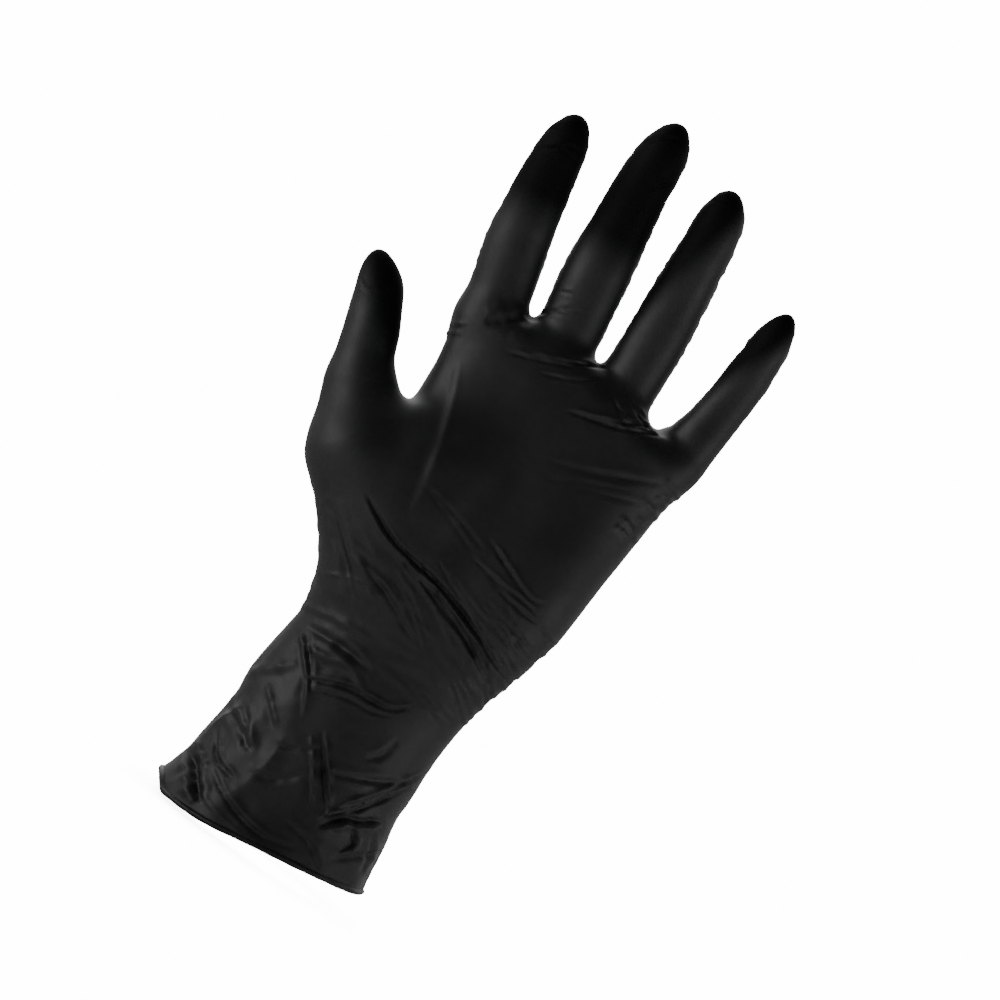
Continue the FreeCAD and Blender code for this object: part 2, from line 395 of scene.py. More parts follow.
def relax(p, faces, rounds):
    """Evens out the spacing of the vertices."""
    pairs = edges_of(faces)
    for _ in range(rounds):
        total = np.zeros_like(p)
        count = np.zeros(len(p))
        for a, b in ((0, 1), (1, 0)):
            np.add.at(total, pairs[:, a], p[pairs[:, b]])
            np.add.at(count, pairs[:, a], 1)
        p = p + 0.5 * (total / count[:, None] - p)
    return p


def quartered(p, faces):
    """Every quad cut into four."""
    pairs = edges_of(faces)
    key = pairs[:, 0] * len(p) + pairs[:, 1]
    middles = (p[pairs[:, 0]] + p[pairs[:, 1]]) / 2
    centres = p[faces].mean(1)

    def middle_of(a, b):
        """Number of the new point between two vertices."""
        low, high = np.minimum(a, b), np.maximum(a, b)
        return len(p) + np.searchsorted(key, low * len(p) + high)

    corner = [faces[:, k] for k in range(4)]
    side = [middle_of(corner[k], corner[(k + 1) % 4]) for k in range(4)]
    hub = len(p) + len(middles) + np.arange(len(faces))
    quads = [np.stack([corner[k], side[k], hub, side[k - 1]], 1) for k in range(4)]
    return np.concatenate([p, middles, centres]), np.concatenate(quads)


def unit(rows):
    """Rows made one long."""
    return rows / np.maximum(np.linalg.norm(rows, axis=1), 1e-12)[:, None]


def spans_of(p, faces):
    """Each quad's normal, as long as twice its area."""
    return np.cross(p[faces[:, 2]] - p[faces[:, 0]], p[faces[:, 3]] - p[faces[:, 1]])


def normals_of(p, faces):
    """Smooth vertex normals."""
    total = np.zeros_like(p)
    for k in range(4):
        np.add.at(total, faces[:, k], spans_of(p, faces))
    return unit(total)


# ---------------------------------------------------------------- creases and folds

# Each fold is a line on the palm side: its points (across, up) in mm, its depth and width in mm, how far one side of
# it stands above the other as a share of the depth, how many strands it has, and how far apart they fan out in mm.
# A negative depth is a ridge.
FOLDS = (
    # across the heel of the hand, from the ball of the thumb
    (((-32, 99), (-26, 96), (-17, 92.5), (-1, 90), (12, 86.5), (23, 82), (33, 78)), 1.75, 0.68, -0.75, 1, 0),
    (((-20, 92.5), (-5, 88.5), (12, 83), (27, 76)), 0.95, 0.6, -0.5, 2, 1.6),
    (((-22, 95.5), (-6, 88), (9, 80.5), (24, 71)), -0.75, 0.5, 0.3, 1, 0),
    (((11, 87), (19, 81), (27, 76)), 0.75, 0.55, 0.4, 2, 2.2),
    (((13, 79), (20, 74.5), (27, 72)), 0.45, 0.55, 0.2, 2, 2.0),
    (((-2, 95), (8, 91), (18, 88)), 0.45, 0.55, 0.3, 2, 2.4),
    (((-20, 111), (-8, 108), (4, 104)), 0.24, 0.7, 0.2, 2, 3.0),
    (((4, 109), (14, 105), (23, 102), (28, 103)), 0.75, 0.55, 0.5, 1, 0),
    (((6, 101), (18, 99), (27, 98.5), (34, 96)), 0.75, 0.55, 0.4, 2, 2.4),
    (((17, 98), (24, 93), (32, 88)), 0.52, 0.55, 0.3, 2, 2.0),
    (((14, 93), (24, 90), (35, 87)), 0.42, 0.55, 0.2, 3, 2.6),
    (((16, 88), (26, 84), (34, 80)), 0.45, 0.55, 0.2, 2, 2.4),
    (((-20, 82), (-10, 79), (2, 73)), 0.83, 0.8, 0.5, 1, 0),
    (((-14, 86), (-4, 81), (6, 74)), 0.45, 0.6, 0.3, 2, 2.4),
    (((-40, 91), (-27, 80), (-12, 68)), 1.2, 2.2, 0.3, 1, 0),
    (((-46, 98), (-33, 86), (-18, 73)), 0.68, 1.5, 0.2, 1, 0),
    (((-24, 84), (-15, 77), (-6, 70)), -0.75, 1.5, 0.2, 1, 0),
    (((-33, 71), (-26, 75), (-17, 79)), -0.45, 0.5, 0.0, 1, 0),
    (((8, 62), (16, 61), (26, 58)), 0.38, 0.7, 0.2, 2, 3.0),
    (((14, 73), (22, 69), (30, 64)), 0.38, 0.6, 0.2, 3, 3.0),
    (((22, 80), (28, 74), (32, 69)), 0.45, 0.6, 0.2, 2, 2.2),
    # wrist
    (((-16, 46), (-5, 51), (3, 52), (9, 53), (14, 57)), 1.12, 0.65, 0.6, 1, 0),
    (((-14, 44), (-3, 48.5), (5, 49.5), (11, 52)), 0.6, 0.6, 0.4, 1, 0),
    (((-25, 54), (-15, 54), (-8, 56), (0, 53)), -1.05, 1.4, 0.5, 1, 0),
    (((-24, 58.5), (-12, 59.5), (-2, 59)), 1.2, 1.3, 0.4, 1, 0),
    (((-30, 62), (-18, 65), (-6, 66)), -0.75, 1.4, 0.0, 1, 0),
    (((-26, 57), (-20, 51), (-15, 46), (-10, 37)), -1.08, 0.75, 0.6, 1, 0),
    (((-23, 57), (-17, 50), (-12, 44)), 0.9, 0.9, 0.3, 1, 0),
    # sleeve
    (((-3, 37), (1, 32), (5, 27), (9, 22), (12, 17)), 1.56, 0.65, 0.9, 1, 0),
    (((-5, 34), (1, 27), (7, 18)), -1.05, 0.7, 0.3, 1, 0),
    (((12, 18), (20, 28), (28, 41)), 1.08, 0.7, 0.7, 2, 2.4),
    (((12, 14), (17, 20), (21, 21.5), (26, 25)), 1.68, 1.0, -0.6, 1, 0),
    (((19, 20), (23, 16), (21, 11)), 1.05, 0.65, 0.5, 1, 0),
    (((26, 21), (29, 15), (30, 9)), 0.75, 0.8, 0.4, 1, 0),
    (((-31, 36), (-26, 42), (-20, 48)), -1.08, 1.7, 0.3, 1, 0),
    (((-24, 38), (-19, 34), (-14, 30)), -0.9, 0.9, 0.4, 1, 0),
    (((-27, 30), (-22, 26), (-19, 20)), 0.75, 1.0, 0.4, 1, 0),
    (((-29, 19), (-24, 13), (-15, 11)), 1.05, 0.75, 0.6, 1, 0),
    (((-23, 10), (-14, 5.5), (-2, 3), (10, 5)), 0.75, 0.8, 0.5, 1, 0),
    (((-26, 4), (-16, 1), (-4, 0), (8, 2)), -0.52, 0.8, 0.2, 1, 0),
    (((-12, 26), (-5, 29), (0, 33)), 0.52, 0.7, 0.3, 1, 0),
    (((-14, 15), (-6, 18), (0, 24)), 0.52, 1.2, 0.2, 1, 0),
    (((11, 37), (15, 41), (16, 47)), 0.6, 1.1, 0.2, 1, 0),
    (((4, 28), (14, 32), (29, 40)), 0.52, 1.0, 0.2, 1, 0),
    (((-33, 27), (-25, 24), (-16, 20)), 0.9, 1.3, 0.4, 1, 0),
    (((-32, 9), (-27, 6), (-20, 0)), 2.4, 1.5, -0.4, 1, 0),
    (((-33, 14), (-29, 11), (-24, 9)), -1.2, 1.0, 0.2, 1, 0),
    (((20, 8), (26, 13), (33, 18)), 0.75, 1.0, 0.3, 1, 0),
    (((4, 10), (12, 9), (20, 4)), 0.6, 1.0, 0.2, 1, 0),
    # roots of the fingers
    (((-21, 157), (-10, 161.5), (1, 167)), 0.83, 0.5, 0.5, 2, 1.7),
    (((-12, 156), (-3, 160), (4, 165)), 0.45, 0.5, 0.2, 1, 0),
    (((2, 152), (13, 156), (25, 162)), 0.9, 0.55, 0.5, 2, 1.9),
    (((9, 163), (14, 160), (20, 160)), 0.45, 0.45, 0.2, 2, 2.0),
    (((14, 165), (19, 163), (24, 162)), 0.52, 0.45, 0.3, 2, 1.6),
    (((-33, 159), (-28, 163.5), (-22, 168)), 1.1, 1.9, 0.2, 1, 0),
    (((-25, 168), (-18, 174), (-13, 176)), 0.45, 0.5, 0.3, 2, 1.8),
    (((-22, 178), (-18, 180), (-14, 180)), 0.33, 0.45, 0.2, 1, 0),
    (((5, 137), (18, 142), (36, 151)), 0.3, 1.1, 0.2, 1, 0),
    (((10, 133), (20, 138), (32, 143)), 0.15, 0.8, 0.2, 2, 3.0),
    # soft edge of the ball of the thumb
    (((-33, 146), (-26, 131), (-21, 116), (-18, 101)), -0.6, 1.8, 0.6, 1, 0),
    # tips of the fingers
    (((-51, 214), (-45, 220), (-41, 221)), 0.45, 0.5, 0.3, 1, 0),
    (((-49, 209), (-43, 213), (-39, 213)), 0.45, 0.5, 0.3, 2, 2.2),
    (((-26, 227), (-21, 232), (-16, 234)), 0.52, 0.55, 0.3, 1, 0),
    (((-19, 214), (-13, 222), (-11, 224)), 0.45, 0.55, 0.3, 1, 0),
    (((-3, 222), (2, 227), (7, 227)), 0.3, 0.5, 0.2, 1, 0),
    (((-70, 149), (-67, 147), (-63, 148)), 0.45, 0.6, 0.2, 1, 0),
)

# Short ridges side by side where the film is gathered: first ridge, last ridge, half length, direction, count,
# height and width, in mm and degrees.
GATHERS = (
    ((34.5, 132.0), (40.5, 151.0), 4.2, -14.0, 7, 0.5, 1.05),
    ((-43.0, 139.0), (-39.5, 153.0), 4.0, 38.0, 5, 0.4, 0.75),
    ((31.0, 60.0), (33.5, 82.0), 5.0, -35.0, 7, 0.4, 0.8),
)


def curve_through(points, steps=8):
    """Smooth line through points, as a denser row of points."""
    points = np.asarray(points, float)
    row = np.arange(len(points))
    fine = np.linspace(0, len(points) - 1, steps * (len(points) - 1) + 1)
    return np.stack([smooth_steps(fine, row, points[:, k]) if len(points) > 2 else
                     np.interp(fine, row, points[:, k]) for k in range(points.shape[1])], 1)


def offset_from(line, spots):
    """Signed distance of spots from a line, and how far along it each one is, from 0 to 1."""
    best = np.full(len(spots), 1e9)
    side = np.zeros(len(spots))
    along = np.zeros(len(spots))
    lengths = np.linalg.norm(np.diff(line, axis=0), axis=1)
    starts = np.concatenate([[0], np.cumsum(lengths)])
    for k, (a, b) in enumerate(zip(line[:-1], line[1:])):
        t = np.clip((spots - a) @ (b - a) / max(lengths[k] ** 2, 1e-9), 0, 1)
        gap = spots - a - t[:, None] * (b - a)
        distance = np.hypot(gap[:, 0], gap[:, 1])
        closer = distance < best
        best[closer] = distance[closer]
        side[closer] = np.sign((b - a)[0] * gap[:, 1] - (b - a)[1] * gap[:, 0])[closer]
        along[closer] = ((starts[k] + t * lengths[k]) / starts[-1])[closer]
    return best * side, along


def fold_height(line, depth, width, step, seed, spots):
    """Height that one fold gives each spot. It fades out towards its ends and is uneven along its length."""
    height = np.zeros(len(spots))
    reach = 5 * width
    near = ((spots > line.min(0) - reach) & (spots < line.max(0) + reach)).all(1)
    distance, along = offset_from(line, spots[near])
    t = np.clip(along, 0, 1)
    uneven = 0.75 + 0.25 * np.sin(t * 17.0 + seed) * np.sin(t * 7.0 + 2.3 * seed)
    strength = np.clip(4 * t * (1 - t), 0, 1) ** 0.6 * uneven
    q = distance / (width * (0.55 + 0.45 * strength))
    if depth < 0:
        profile = np.exp(-q * q)
    else:
        profile = -np.exp(-q * q) + 0.35 * np.exp(-(np.abs(q) - 2.0) ** 2 / 1.5)
    lean = step * np.tanh(q) * np.exp(-q * q / 8)
    height[near] = abs(depth) * (profile + lean) * strength
    return height


def strands_of(points, count, spread, seed):
    """Lines that fan out from the start of a fold, side by side."""
    points = np.asarray(points, float)
    if count == 1:
        return [curve_through(points)]
    heading = points[-1] - points[0]
    sideways = np.array([-heading[1], heading[0]]) / np.linalg.norm(heading)
    share = np.linspace(0.3, 1, len(points))[:, None]
    lines = []
    for k in range(count):
        shift = (k - (count - 1) / 2) * spread
        slide = math.sin(3.1 * k + seed) * 0.12
        lines.append(curve_through(points + heading * slide + sideways * shift * share))
    return lines


def gather_lines(first, last, half, heading, count):
    """Lines of a row of gathers: uneven in length, direction and spacing, and slightly bent."""
    turn = math.radians(heading)
    reach = np.array([math.cos(turn), math.sin(turn)]) * half
    lines = []
    for k in range(count):
        centre = np.array(first) + (np.array(last) - first) * (k + 0.3 * math.sin(5 * k)) / (count - 1)
        bend = reach * (0.8 + 0.45 * math.sin(2.4 * k)) @ np.array([[1, 0.2 * math.sin(4 * k)], [0, 1]])
        lines.append(curve_through((centre - bend, centre + (0.3, 0.5), centre + bend)))
    return lines


def waves(p, seed, size, count=24):
    """Smooth random height from -1 to 1 or so, made of plane waves about as long as the size in mm."""
    random = np.random.default_rng(seed)
    total = np.zeros(len(p))
    for _ in range(count):
        heading = random.normal(size=3)
        heading *= 2 * math.pi / (size * random.uniform(0.7, 1.4)) / np.linalg.norm(heading)
        total += np.sin(p @ heading + random.uniform(0, 2 * math.pi))
    return total / math.sqrt(count / 2) / 1.6


def crumples(p, seed, size):
    """Random height of crumpled film from -1 to 0: dents that meet in fairly sharp ridges."""
    warp = waves(p, seed + 50, size * 1.6) * size * 0.15
    return -np.sqrt(waves(p + warp[:, None], seed, size, 12) ** 2 + 0.004)


def film_relief(p, normals, relief):
    """How far each vertex moves along its normal, in mm, for the creases and crumples of thin film."""
    front = fade_in(-normals[:, 1], 0.05, 0.45)
    spots = p[:, (0, 2)]
    height = np.zeros(len(p))
    for seed, (points, depth, width, step, count, spread) in enumerate(FOLDS):
        for line in strands_of(points, count, spread, seed):
            height += fold_height(line, depth, width, step, seed, spots) * front
    gathered = fade_in(-normals[:, 1], -0.4, 0.1)
    for *row, rise, width in GATHERS:
        for k, line in enumerate(gather_lines(*row)):
            height += fold_height(line, -rise, width, 0.3, k, spots) * gathered
    back = 1 - front
    thumb_side = front * fade_in(-p[:, 0], -4, 22)
    sleeve = 1 - fade_in(p[:, 2], 24, 66)
    heel = fade_in(p[:, 2], 52, 66) * (1 - fade_in(p[:, 2], 84, 100))
    hand, fingers = fade_in(p[:, 2], 90, 104), fade_in(p[:, 2], 160, 172)
    # Share of each spot, stretch of the pattern, its seed, and its size and height in mm.
    for share, stretch, seed, size, rise in (
        (sleeve * (0.25 + 0.45 * back + 0.5 * thumb_side), (1, 1, 0.7), 11, 21.0, 1.2),
        (sleeve * (0.2 + 0.3 * back + 0.3 * thumb_side), (1, 1, 1.2), 12, 12.0, 0.35),
        (heel * (0.4 + 0.6 * back), (0.5, 0.5, 1.6), 16, 11.0, 0.55),
        (hand * back, (1.4, 1.4, 0.6), 13, 24.0, 0.35),
        (fingers * back, (0.3, 0.3, 1.5), 17, 8.0, 0.3),
    ):
        height += share * crumples(p * stretch, seed, size) * rise
    return (height + waves(p, 14, 11.0) * 0.045) * relief


# ---------------------------------------------------------------- the continuous film, made once

skin = {}


def rim_height(p):
    """Height of the rim under each point: tilted, low in the middle of the palm side and turned up at the lip."""
    tilt = p[:, 0] * math.tan(math.radians(RIM_TILT))
    front = fade_in(-p[:, 1], 0, 18)
    return tilt - 1.2 * front * np.exp(-((p[:, 0] + 17) / 14) ** 2) + 4.2 * fade_in(-p[:, 0], 30.0, 35.5)


def glove_skin():
    """The whole film as arrays: points, normals and quads in mm, each quad's zone and each point's grip and painted
    shade.
    """
    film = bpy.context.scene.glove_film
    settings = (film.mesh_step_mm, film.relief)
    if skin.get("settings") == settings:
        return skin
    low, high = np.array(CAD_BOX) / MM
    # Cut at twice the step, evened out, and then every quad cut into four.
    p, faces = skin_of(glove_field, low - (8, 8, 14), high + (8, 8, 8), film.mesh_step_mm * 2)
    p = settle(glove_field, relax(p, faces, rounds=4), rounds=3)
    p, faces = quartered(p, faces)
    p = settle(glove_field, p, rounds=2)
    centres = p[faces].mean(1)
    faces = faces[centres[:, 2] > rim_height(centres)]
    used = np.unique(faces)
    order = np.full(len(p), -1)
    order[used] = np.arange(len(used))
    p, faces = p[used], order[faces]
    edge = np.unique(border_of(faces))
    p[edge, 2] = rim_height(p[edge])
    normals = normals_of(p, faces)
    p = p + normals * film_relief(p, normals, film.relief)[:, None]
    skin.update(
        settings=settings, points=p, faces=faces, normals=normals_of(p, faces),
        rim=edge, zones=zones_of(p, faces), grip=grip_of(p),
    )
    return skin


def grip_of(p):
    """How rough the former is at each point and how dark its painted shade is, from 0 on the hand to 1 at the
    fingertips.
    """
    grip = np.zeros(len(p))
    for shape, axes in [(THUMB, thumb_axes(p))] + [(DIGITS[name], finger_run(p, name)) for name in FINGERS]:
        across, _, run = axes
        low, high = (share * shape["length"] for share in shape["grip"])
        # Where the edge slants, the rougher film and its painted shade start further down one side of the digit than
        # the other.
        rough_and_shaded = fade_in(run + shape["grip_and_shade_slant"] * across, low, high) * fade_in(run, *ROUGH_AND_SHADE_FADE)
        grip = np.maximum(grip, rough_and_shaded * (digit_distance(*axes, shape) < DIGIT_REACH))
    return grip


def thumb_cuts():
    """The thumb's root, the directions across its root cut and its seam, and how far its knuckle is from the root."""
    root = place_mm("thumb_base_flexion")
    lean = math.radians(THUMB_ROOT_LEAN)
    ahead = (place_mm("thumb_tip_flexion") - root) * (1, 0, 1)
    length = np.linalg.norm(ahead)
    return root, np.array([-math.sin(lean), 0, math.cos(lean)]), ahead / length, length


def zones_of(p, faces):
    """Name of the zone that each quad belongs to."""
    centres = p[faces].mean(1)
    z = centres[:, 2]
    zones = np.full(len(faces), "palm_film", dtype=object)
    zones[z < HEEL_TOP] = "wrist_upper_film"
    zones[z < WRIST_MIDDLE] = "wrist_lower_film"
    zones[z < SLEEVE_TOP] = "sleeve_film"
    hand = hand_column(centres)
    _, root, end = thumb_fields(centres)
    foot, low, high, _ = thumb_cuts()
    thumb = (np.minimum(root, end) < hand) & ((centres - foot) @ low > ROOT_RISE) & (centres[:, 0] < THUMB_SIDE)
    zones[thumb] = "thumb_base_film"
    zones[thumb & ((centres - foot) @ high > THUMB_SEAM)] = "thumb_tip_film"
    for name in FINGERS:
        _, _, run = finger_run(centres, name)
        mine = (finger_field(centres, name) < DIGIT_REACH) & (run > ROOT_RISE)
        near, far = DIGITS[name]["joints"]
        zones[mine] = name + "_base_film"
        zones[mine & (run > near * BASE_SHARE)] = name + "_mid_film"
        zones[mine & (run > (near + far) / 2)] = name + "_tip_film"
    return zones


def film_piece(zone):
    """One zone of the film as a closed thin shell: outside, inside and the edges between them."""
    thickness = bpy.context.scene.glove_film.thickness_mm
    whole = glove_skin()
    quads = whole["faces"][whole["zones"] == zone]
    used = np.unique(quads)
    order = np.full(len(whole["points"]), -1)
    order[used] = np.arange(len(used))
    quads = order[quads]
    outer, normals = whole["points"][used], whole["normals"][used]
    edge = border_of(quads)
    count = len(used)
    walls = np.stack([edge[:, 1], edge[:, 0], edge[:, 0] + count, edge[:, 1] + count], 1)
    points = np.concatenate([outer, outer - normals * thickness])
    mesh = mesh_from(zone, points, np.concatenate([quads, quads[:, ::-1] + count, walls]))
    wall_normals = np.repeat(unit(spans_of(points, walls)), 4, axis=0)
    loops = np.concatenate([normals[quads.ravel()], -normals[quads[:, ::-1].ravel()], wall_normals])
    mesh.normals_split_custom_set(loops.tolist())
    # This layer carries both the rougher fingertip film and the painted shade at the fingertips.
    grip = mesh.attributes.new("grip", "FLOAT", "POINT")
    grip.data.foreach_set("value", np.tile(whole["grip"][used], 2).astype(np.float32))
    mesh.materials.append(film_finish())
    return link(bpy.data.objects.new(zone, mesh))


def mesh_from(name, points_mm, faces):
    """Mesh from arrays of points in mm and quads."""
    mesh = bpy.data.meshes.new(name)
    mesh.vertices.add(len(points_mm))
    mesh.vertices.foreach_set("co", (points_mm * MM).astype(np.float32).ravel())
    mesh.loops.add(faces.size)
    mesh.loops.foreach_set("vertex_index", faces.ravel().astype(np.int32))
    mesh.polygons.add(len(faces))
    mesh.polygons.foreach_set("loop_start", np.arange(0, faces.size, 4, dtype=np.int32))
    mesh.polygons.foreach_set("use_smooth", np.ones(len(faces), bool))
    mesh.update(calc_edges=True)
    mesh.validate()
    return mesh


def link(piece):
    """Puts an object in the scene."""
    bpy.context.scene.collection.objects.link(piece)
    return piece


# ---------------------------------------------------------------- finishes

# Strength of a white surface that is meant to be plain white in the picture.
WHITE = 15.0


def linear(hex_colour):
    """sRGB hex, such as #101011, as a linear colour with alpha."""
    values = [int(hex_colour[k:k + 2], 16) / 255 for k in (1, 3, 5)]
    return tuple(v / 12.92 if v <= 0.04045 else ((v + 0.055) / 1.055) ** 2.4 for v in values) + (1.0,)


def add_node(tree, kind, settings=None, links=None):
    """Adds a node, sets its properties and inputs by name, and links outputs of other nodes to its inputs."""
    node = tree.nodes.new(kind)
    for key, value in (settings or {}).items():
        if isinstance(key, int) or key in node.inputs:
            node.inputs[key].default_value = value
        else:
            setattr(node, key, value)
    for key, (source, output) in (links or {}).items():
        tree.links.new(source.outputs[output], node.inputs[key])
    return node


def bare_material(name):
    """A new material and its empty node tree."""
    material = bpy.data.materials.new(name)
    material.use_nodes = True
    material.node_tree.nodes.clear()
    return material, material.node_tree


def dipped_nitrile(name, colour, roughness, grain):
    """Nitrile rubber film, dipped on a lightly textured former and chlorinated: near-black all through and satin, with
    a fine even grain that softens every highlight. The former is rougher at the fingertips, so they are duller, and
    they are also painted near-black there, further down one side of each digit, as painted shade."""
    material, tree = bare_material(name)
    place = add_node(tree, "ShaderNodeTexCoord")
    grip = add_node(tree, "ShaderNodeAttribute", {"attribute_name": "grip"})
    # Chlorinating leaves patches about 18 mm wide that shine a little more or less.
    cloud = add_node(
        tree, "ShaderNodeTexNoise", {"Scale": 1 / 0.018, "Detail": 3.0, "Roughness": 0.55},
        {"Vector": (place, "Object")},
    )
    sheen = add_node(
        tree, "ShaderNodeMapRange",
        {"From Min": 0.3, "From Max": 0.7, "To Min": roughness - 0.05, "To Max": roughness + 0.06},
        {"Value": (cloud, "Fac")},
    )
    dull = add_node(
        tree, "ShaderNodeMath", {"operation": "MULTIPLY_ADD", 1: 0.12}, {0: (grip, "Fac"), 2: (sheen, "Result")},
    )
    tint = add_node(
        tree, "ShaderNodeMixRGB", {"Color1": linear(colour), "Color2": linear("#1c1c1d")}, {"Fac": (cloud, "Fac")},
    )
    # Painted shade: the fingertips, further down one side of each digit, are painted near-black.
    deep = add_node(
        tree, "ShaderNodeMixRGB", {"Color2": linear("#040404")}, {"Fac": (grip, "Fac"), "Color1": (tint, "Color")},
    )
    shine = add_node(tree, "ShaderNodeMapRange", {"To Min": 0.5, "To Max": 0.12}, {"Value": (grip, "Fac")})
    # The real grain is about 0.1 mm. It is drawn at 0.35 mm, so that it shows at all.
    fine = add_node(
        tree, "ShaderNodeTexNoise", {"Scale": 1 / 0.00035, "Detail": 2.0, "Roughness": 0.6},
        {"Vector": (place, "Object")},
    )
    # Slack in the film about 4 mm wide, too low to be a crease.
    soft = add_node(
        tree, "ShaderNodeTexNoise", {"Scale": 1 / 0.004, "Detail": 2.0, "Roughness": 0.5},
        {"Vector": (place, "Object")},
    )
    small = add_node(tree, "ShaderNodeBump", {"Strength": grain, "Distance": 0.00003}, {"Height": (fine, "Fac")})
    large = add_node(
        tree, "ShaderNodeBump", {"Strength": 0.35, "Distance": 0.0002},
        {"Height": (soft, "Fac"), "Normal": (small, "Normal")},
    )
    surface = add_node(
        tree, "ShaderNodeBsdfPrincipled", {"IOR": 1.5},
        {
            "Base Color": (deep, "Color"), "Roughness": (dull, "Value"),
            "Specular IOR Level": (shine, "Result"), "Normal": (large, "Normal"),
        },
    )
    add_node(tree, "ShaderNodeOutputMaterial", links={"Surface": (surface, "BSDF")})
    return material


def white_sweep(name, colour):
    """Matt white paper sweep. Other surfaces see the paper, with a faint mottle. The camera sees a flat white glow, as
    white as the background, with only a soft darkening where something stands on it: a painted contact shadow."""
    material, tree = bare_material(name)
    place = add_node(tree, "ShaderNodeTexCoord")
    mottle = add_node(
        tree, "ShaderNodeTexNoise", {"Scale": 1 / 0.02, "Detail": 3.0}, {"Vector": (place, "Object")},
    )
    tint = add_node(
        tree, "ShaderNodeMixRGB", {"Color1": linear(colour), "Color2": linear("#ffffff")}, {"Fac": (mottle, "Fac")},
    )
    paper = add_node(tree, "ShaderNodeBsdfDiffuse", {"Roughness": 0.9}, {"Color": (tint, "Color")})
    # Ambient occlusion dims the glow where something stands on the floor: a painted contact shadow.
    painted_contact_shadow = add_node(tree, "ShaderNodeAmbientOcclusion", {"Distance": 0.015, "samples": 8})
    power = add_node(tree, "ShaderNodeMath", {"operation": "MULTIPLY", 1: WHITE}, {0: (painted_contact_shadow, "AO")})
    lit = add_node(tree, "ShaderNodeEmission", {"Color": (1, 1, 1, 1)}, {"Strength": (power, "Value")})
    sight = add_node(tree, "ShaderNodeLightPath")
    both = add_node(
        tree, "ShaderNodeMixShader",
        links={0: (sight, "Is Camera Ray"), 1: (paper, "BSDF"), 2: (lit, "Emission")},
    )
    add_node(tree, "ShaderNodeOutputMaterial", links={"Surface": (both, "Shader")})
    return material


finishes = {}


def film_finish():
    """The film's material, made once for each set of values."""
    look = bpy.context.scene.glove_finish
    settings = (look.colour, look.roughness, look.grain)
    if settings not in finishes:
        finishes[settings] = dipped_nitrile("black dipped nitrile", *settings)
    return finishes[settings]


# ---------------------------------------------------------------- settings

class GloveFilmSettings(bpy.types.PropertyGroup):
    """Sizes of the film"""
    thickness_mm: bpy.props.FloatProperty(
        name="Film thickness (mm)", description="Thickness of the single film",
        default=0.12, min=0.05, max=0.5,
    )
    mesh_step_mm: bpy.props.FloatProperty(
        name="Mesh step (mm)", description="Distance between neighbouring points of the film",
        default=0.65, min=0.4, max=3.0,
    )
    relief: bpy.props.FloatProperty(
        name="Relief", description="Share of the creases' and crumples' full depth",
        default=1.0, min=0.0, max=2.0, subtype="FACTOR",
    )


class GloveBeadSettings(bpy.types.PropertyGroup):
    """Size of the rolled bead"""
    diameter_mm: bpy.props.FloatProperty(
        name="Bead diameter (mm)", description="Diameter of the rolled rim",
        default=1.8, min=0.5, max=4.0,
    )


class GloveFinishSettings(bpy.types.PropertyGroup):
    """Colour and surface of the nitrile"""
    colour: bpy.props.StringProperty(
        name="Colour", description="Colour of the nitrile, as sRGB hex",
        default="#151516",
    )
    roughness: bpy.props.FloatProperty(
        name="Roughness", description="Roughness of the film's surface",
        default=0.52, min=0.05, max=1.0, subtype="FACTOR",
    )
    grain: bpy.props.FloatProperty(
        name="Grain", description="Strength of the film's fine grain",
        default=0.5, min=0.0, max=1.0, subtype="FACTOR",
    )


class GloveStageSettings(bpy.types.PropertyGroup):
    """Floor and camera"""
    floor_colour: bpy.props.StringProperty(
        name="Floor colour", description="Colour of the floor, as sRGB hex",
        default="#f6f6f6",
    )
    distance: bpy.props.FloatProperty(
        name="Camera distance", description="From the camera to the glove",
        default=1.2, min=0.3, max=5.0, unit="LENGTH",
    )
    width: bpy.props.FloatProperty(
        name="View width", description="Width that the camera takes in at the glove",
        default=0.29, min=0.1, max=2.0, unit="LENGTH",
    )
    roll: bpy.props.FloatProperty(
        name="Camera roll", description="Turn of the camera about its own line of sight",
        default=math.radians(35.5), subtype="ANGLE",
    )


# ---------------------------------------------------------------- operators

def rigid_piece(zone, body, *nodes):
    """Makes a zone's piece, which moves with one body and stands for those nodes."""
    piece = film_piece(zone)
    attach(piece, body)
    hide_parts(*nodes)


def blend_piece(zone, bodies, start, end, *nodes):
    """Makes a zone's piece and bakes its placement into its mesh. It doesn't bend: the two bodies and the start and
    end, in mm, are not used.
    """
    piece = film_piece(zone)
    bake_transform(piece)
    if nodes:
        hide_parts(*nodes)


def run_point(name, run):
    """Point on a finger's centre line at a run, in mm."""
    lean = math.radians(DIGITS[name]["lean"])
    last, radius = curl_of(name)
    turn = min(run, last) / radius
    past = max(run - last, 0)
    ahead = radius * math.sin(turn) + past * math.cos(turn)
    forward = radius * (1 - math.cos(turn)) + past * math.sin(turn)
    return base_centre(name) + np.array([-ahead * math.sin(lean), -forward, ahead * math.cos(lean)])


class NITRILE_OT_sleeve(bpy.types.Operator):
    """Build the sleeve from the rim to below the wrist"""
    bl_idname = "nitrile.sleeve"
    bl_label = "Build Sleeve"

    def execute(self, context):
        rigid_piece("sleeve_film", "cuff", "cuff")
        return {"FINISHED"}


